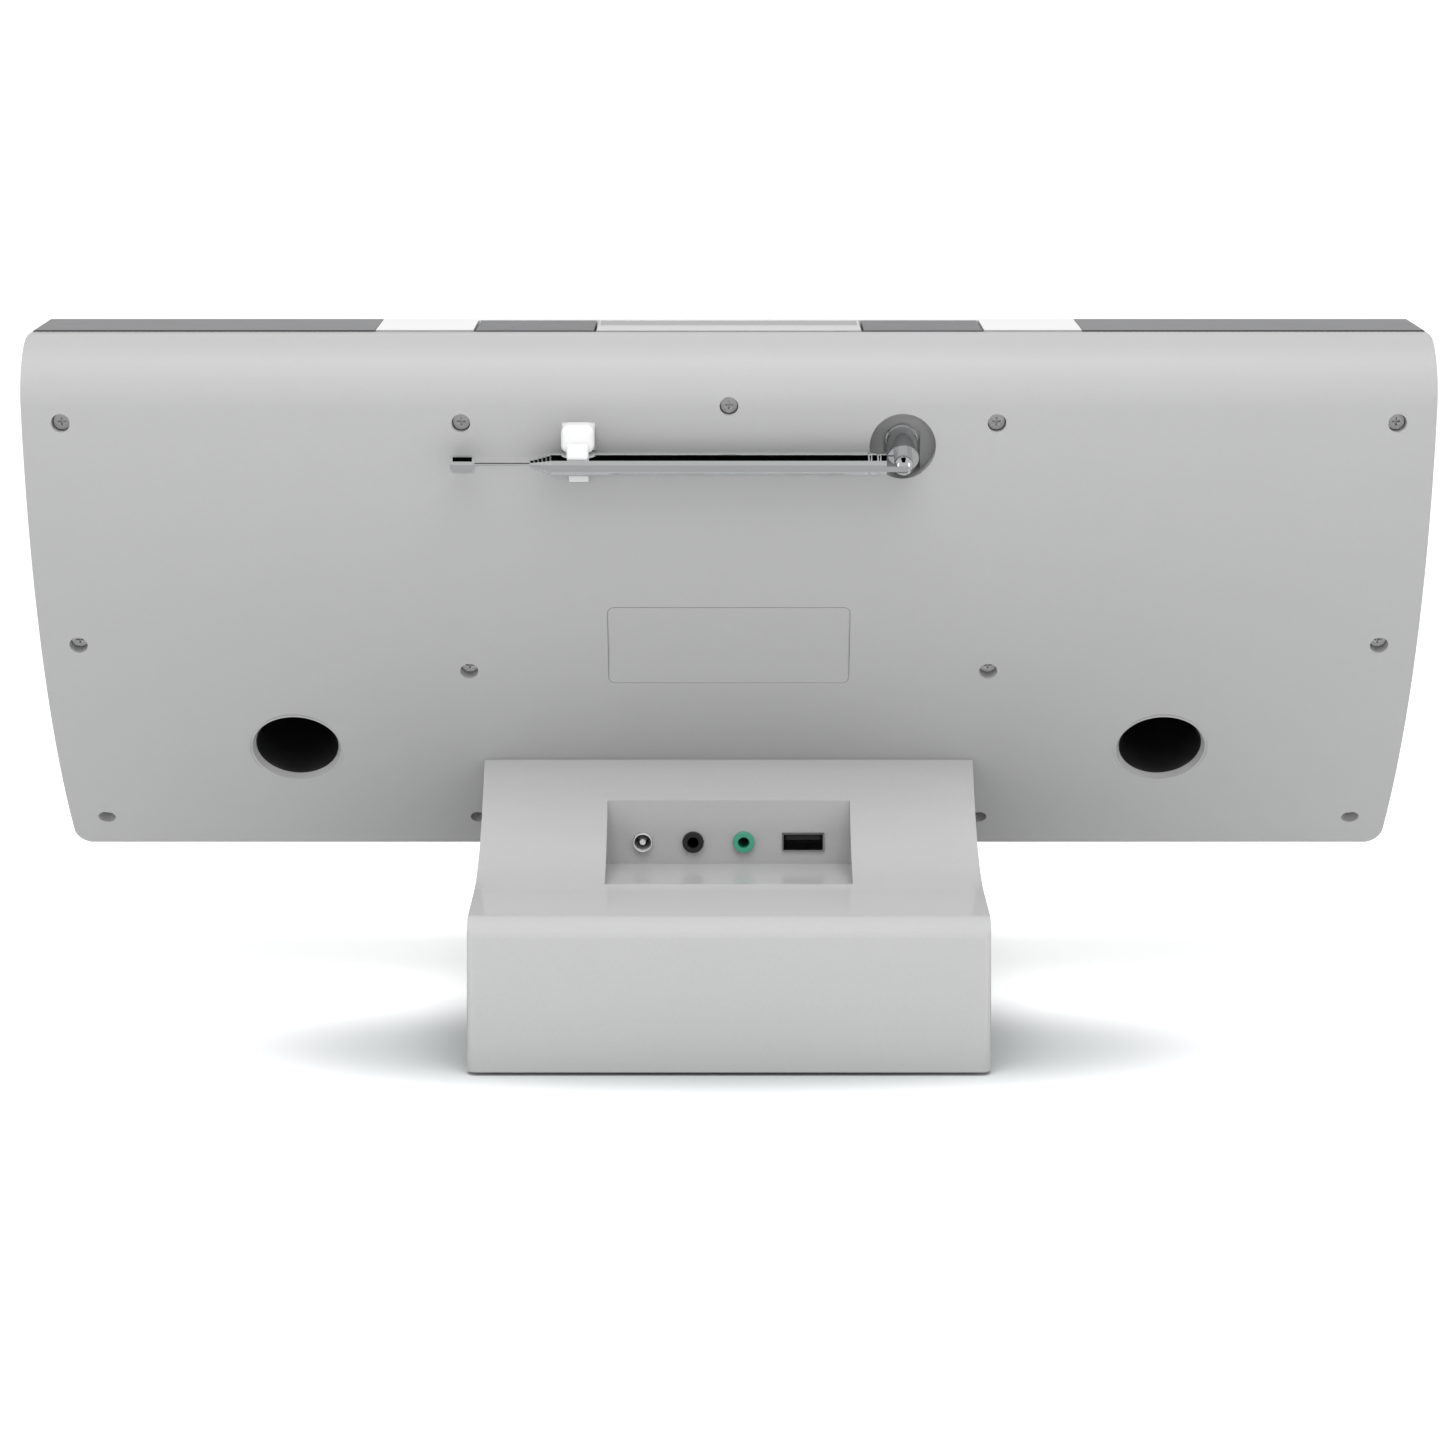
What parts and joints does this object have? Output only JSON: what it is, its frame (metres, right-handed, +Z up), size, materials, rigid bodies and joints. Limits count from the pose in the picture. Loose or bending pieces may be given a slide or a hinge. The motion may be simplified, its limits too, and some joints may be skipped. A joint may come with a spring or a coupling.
{
  "type": "tabletop radio",
  "caption": "Wide tabletop radio on a pedestal base, with a curved back, telescopic antenna, top keys, bass ports and rear sockets.",
  "frame": {"origin": "centre of the base's footprint, on the table", "axes": "+Z up, X across the radio, +Y towards the back with the sockets and the antenna, -Y towards the front"},
  "size_m": [0.438, 0.16, 0.2228],
  "materials": {
    "base_grey": "polished, faint ripple",
    "painted_screw": "satin",
    "shell": "fine satin grain",
    "white": "satin",
    "grille": "satin, perforated",
    "lens": "polished",
    "lcd": "satin",
    "board": "solder mask",
    "steel": "plated",
    "silver_key": "satin",
    "key_inlay": "satin",
    "dark_key": "satin",
    "black": "matte",
    "alloy": "extruded",
    "driver_frame": "satin",
    "rubber": "matte",
    "cone": "pressed paper",
    "magnet": "zinc plated",
    "plate": "printed film, blank",
    "chrome": "polished",
    "ballast": "cast",
    "jack_grey": "satin",
    "jack_green": "satin"
  },
  "bodies": {
    "cabinet": {"rear_shell": "shell", "front_frame": "white", "grille_left": "grille", "grille_right": "grille", "display_lens": "lens", "lcd_panel": "lcd", "display_board": "board", "key_board": "board", "key_switches": "steel", "rocker_pins": "steel", "main_board": "board", "main_board_parts": "black", "tuner_can": "steel", "heatsink": "alloy", "driver_frame_left": "driver_frame", "driver_frame_right": "driver_frame", "surround_left": "rubber", "surround_right": "rubber", "cone_left": "cone", "cone_right": "cone", "dust_cap_left": "cone", "dust_cap_right": "cone", "magnet_left": "magnet", "magnet_right": "magnet", "port_tube_left": "black", "port_tube_right": "black", "case_screws": "painted_screw", "rating_plate": "plate", "antenna_washer": "chrome", "antenna_clip": "white", "base_shell": "base_grey", "base_plate": "black", "base_feet": "rubber", "base_screws": "steel", "neck_screws": "steel", "ballast": "ballast", "jack_board": "board", "dc_jack": "jack_grey", "aux_jack": "black", "phones_jack": "jack_green", "usb_port": "steel"},
    "antenna_swivel_body": {"antenna_barrel": "chrome", "antenna_pin": "steel", "antenna_nut": "steel"},
    "antenna_arm": {"antenna_tube_1": "chrome"},
    "tube_2": {"antenna_tube_2": "chrome"},
    "tube_3": {"antenna_tube_3": "chrome"},
    "tube_4": {"antenna_tube_4": "chrome"},
    "tube_5": {"antenna_tube_5": "chrome"},
    "tube_6": {"antenna_tube_6": "chrome"},
    "tip_rod": {"antenna_rod": "chrome", "antenna_tip": "chrome"},
    "standby_key": {"standby_bar": "silver_key", "bar_inlay": "key_inlay"},
    "tune_key": {"tune_rocker": "dark_key"},
    "volume_key": {"volume_rocker": "dark_key"}
  },
  "joints": [
    {"name": "antenna_swivel", "type": "hinge", "parent": "cabinet", "child": "antenna_swivel_body", "pos_m": [-0.0539, 0.0386, 0.1845], "axis": [0, -0.9063, 0.4226], "range_deg": [0, 180], "deforming": ["antenna_clip"]},
    {"name": "antenna_elbow", "type": "hinge", "parent": "antenna_swivel_body", "child": "antenna_arm", "pos_m": [-0.0539, 0.0386, 0.1845], "axis": [0, 0.4226, 0.9063], "range_deg": [0, 90]},
    {"name": "slide_2", "type": "slide", "parent": "antenna_arm", "child": "tube_2", "axis": [1, 0, 0], "range_m": [0, 0.085]},
    {"name": "slide_3", "type": "slide", "parent": "tube_2", "child": "tube_3", "axis": [1, 0, 0], "range_m": [0, 0.085]},
    {"name": "slide_4", "type": "slide", "parent": "tube_3", "child": "tube_4", "axis": [1, 0, 0], "range_m": [0, 0.085]},
    {"name": "slide_5", "type": "slide", "parent": "tube_4", "child": "tube_5", "axis": [1, 0, 0], "range_m": [0, 0.085]},
    {"name": "slide_6", "type": "slide", "parent": "tube_5", "child": "tube_6", "axis": [1, 0, 0], "range_m": [0, 0.085]},
    {"name": "slide_rod", "type": "slide", "parent": "tube_6", "child": "tip_rod", "axis": [1, 0, 0], "range_m": [0, 0.085]},
    {"name": "standby_press", "type": "slide", "parent": "cabinet", "child": "standby_key", "axis": [0, 0, -1], "range_m": [0, 0.0008], "stiffness_N_per_m": 800, "springref_m": -0.0002},
    {"name": "tune_rock", "type": "hinge", "parent": "cabinet", "child": "tune_key", "pos_m": [-0.0609, 0, 0.2138], "axis": [0, 1, 0], "range_deg": [-2.4, 2.4], "stiffness_Nm_per_rad": 0.15},
    {"name": "volume_rock", "type": "hinge", "parent": "cabinet", "child": "volume_key", "pos_m": [0.0609, 0, 0.2138], "axis": [0, 1, 0], "range_deg": [-2.4, 2.4], "stiffness_Nm_per_rad": 0.15}
  ]
}
